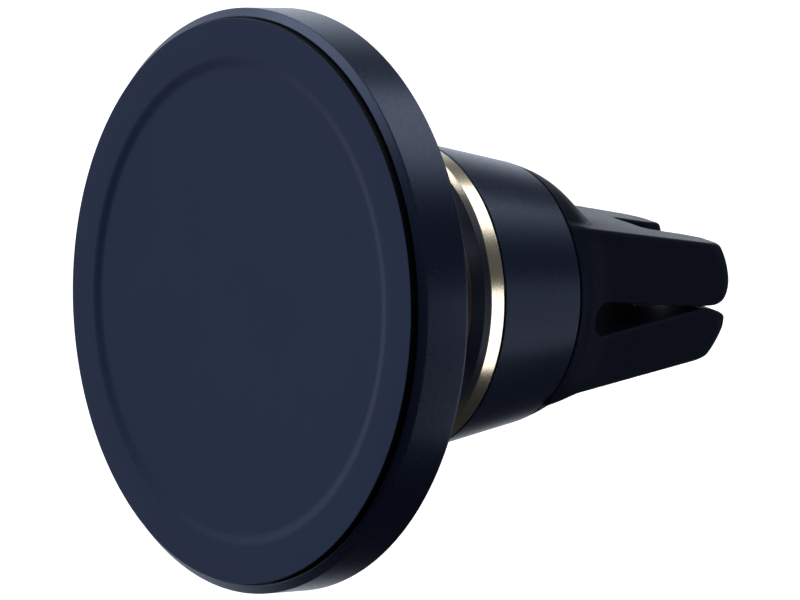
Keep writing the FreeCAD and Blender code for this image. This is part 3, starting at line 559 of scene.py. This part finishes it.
for key, names in {
    "film": ("pad_adhesive",), "nylon": ("magnet_tray", "socket_core", "upper_jaw_core", "lower_jaw_core"), "magnet": ("ring_magnets",),
    "steel": ("shunt_ring", "tray_screws", "stud_nut"), "bush": ("swivel_bush", "collar_washer"), "spring": ("disc_spring", "seat_spring", "retaining_ring"),
    "acetal": ("ball_liner", "pressure_pad"), "rubber": ("collar_o_ring",),
}.items():
    for n in names:
        paint(NODES[n], key)
paint(NODES["collar_washer"], "rubber")

# ============================================================================ camera
a, e, roll = math.radians(50.70), math.radians(11.45), math.radians(7.15)
back = Vector((math.sin(a) * math.cos(e), -math.cos(a) * math.cos(e), math.sin(e)))
right = Vector((math.cos(a), math.sin(a), 0.0))
up = back.cross(right)
r2 = right * math.cos(roll) + up * math.sin(roll)
u2 = -right * math.sin(roll) + up * math.cos(roll)
pos = (back * 525.0 + r2 * 16.337 + u2 * 0.137 + Vector((0, -SHIFT, 0))) / 1000.0
cam_data = bpy.data.cameras.new("camera")
cam_data.sensor_width = 36.0
cam_data.lens = 5315.0 * 36.0 / 800.0
cam_data.clip_start, cam_data.clip_end = 0.02, 100.0
cam = bpy.data.objects.new("camera", cam_data)
m = Matrix.Identity(4)
for i, axis in enumerate((r2, u2, back, pos)):
    for j in range(3):
        m[j][i] = axis[j]
cam.matrix_world = m
bpy.context.scene.collection.objects.link(cam)
bpy.context.scene.camera = cam

# ============================================================================ studio
floor = new_object("floor", [(-8, -8, -0.3), (8, -8, -0.3), (8, 8, -0.3), (-8, 8, -0.3)], [(0, 1, 2, 3)])
f = Shader("pale_floor")
f.set(Base_Color=(0.9, 0.9, 0.9, 1), Roughness=0.9, Emission_Color=(1, 1, 1, 1), Emission_Strength=0.95)
floor.data.materials.append(f.mat)
floor.visible_glossy = False
floor.visible_diffuse = False
floor.visible_shadow = False

world = bpy.data.worlds.new("studio")
bpy.context.scene.world = world
world.use_nodes = True
wt = world.node_tree
wt.nodes.clear()


def wn(kind, **props):
    n = wt.nodes.new(kind)
    for k, v in props.items():
        setattr(n, k, v)
    return n


def w_range(value, lo, hi, x, y):
    n = wn("ShaderNodeMapRange", interpolation_type="SMOOTHSTEP")
    for k, v in (("From Min", lo), ("From Max", hi), ("To Min", x), ("To Max", y)):
        n.inputs[k].default_value = v
    wt.links.new(value, n.inputs["Value"])
    return n.outputs["Result"]


def w_math(op, x, y):
    n = wn("ShaderNodeMath", operation=op)
    for i, v in enumerate((x, y)):
        if isinstance(v, (int, float)):
            n.inputs[i].default_value = v
        else:
            wt.links.new(v, n.inputs[i])
    return n.outputs[0]


way = wn("ShaderNodeTexCoord").outputs["Generated"]
sep = wn("ShaderNodeSeparateXYZ")
wt.links.new(way, sep.inputs[0])
dx, dy, dz = sep.outputs
# white wall behind and to the left, dim elsewhere, a soft glow from above
left = w_range(dx, -0.40, -0.78, 0.0, 1.0)
glow = w_math("ADD", w_math("MULTIPLY", left, 1.10), w_math("MULTIPLY", w_range(dz, 0.55, 0.95, 0.0, 1.0), 0.25))
glow = w_math("ADD", glow, w_range(dz, -0.80, -0.15, 0.025, 0.09))
room = wn("ShaderNodeBackground")
room.inputs["Color"].default_value = (0.93, 0.96, 1.0, 1)
wt.links.new(glow, room.inputs["Strength"])
white = wn("ShaderNodeBackground")
white.inputs["Color"].default_value = (1, 1, 1, 1)
white.inputs["Strength"].default_value = 1.0
path = wn("ShaderNodeLightPath")
mixer = wn("ShaderNodeMixShader")
wt.links.new(path.outputs["Is Camera Ray"], mixer.inputs[0])
wt.links.new(room.outputs[0], mixer.inputs[1])
wt.links.new(white.outputs[0], mixer.inputs[2])
out = wn("ShaderNodeOutputWorld")
wt.links.new(mixer.outputs[0], out.inputs["Surface"])


def softbox(name, way, size, level, colour=(1, 1, 1), dist=0.6, aim=(0, -0.03, 0), size_y=None, along=(0, 0, 1)):
    """A rectangular light of the given radiance that faces the object, its second side laid
    along a direction."""
    z = Vector(way).normalized()
    y = Vector(along)
    y = (y - z * y.dot(z)).normalized()
    x = y.cross(z)
    data = bpy.data.lights.new(name, "AREA")
    data.shape = "RECTANGLE"
    data.size, data.size_y = size, size_y or size
    data.energy = level * math.pi * data.size * data.size_y
    data.color = colour
    ob = bpy.data.objects.new(name, data)
    bpy.context.scene.collection.objects.link(ob)
    p = Vector(aim) + z * dist
    m = Matrix.Identity(4)
    for i, axis in enumerate((x, y, z, p)):
        for j in range(3):
            m[j][i] = axis[j]
    ob.matrix_world = m
    ob.visible_camera = False
    return ob


softbox("key_left", (-0.55, -0.75, 0.55), 0.5, 2.2)
softbox("top", (0.12, 0.61, 0.78), 0.32, 2.1, size_y=0.34)
softbox("strip_right", (0.745, 0.635, -0.18), 0.020, 2.5, dist=0.09, aim=(0.0155, -0.0352, 0), size_y=0.086, along=(0.21, 0, 0.98))
softbox("back_glow", (0.34, 0.92, -0.10), 0.26, 0.6, size_y=0.36)
bpy.context.scene.view_settings.view_transform = "Standard"
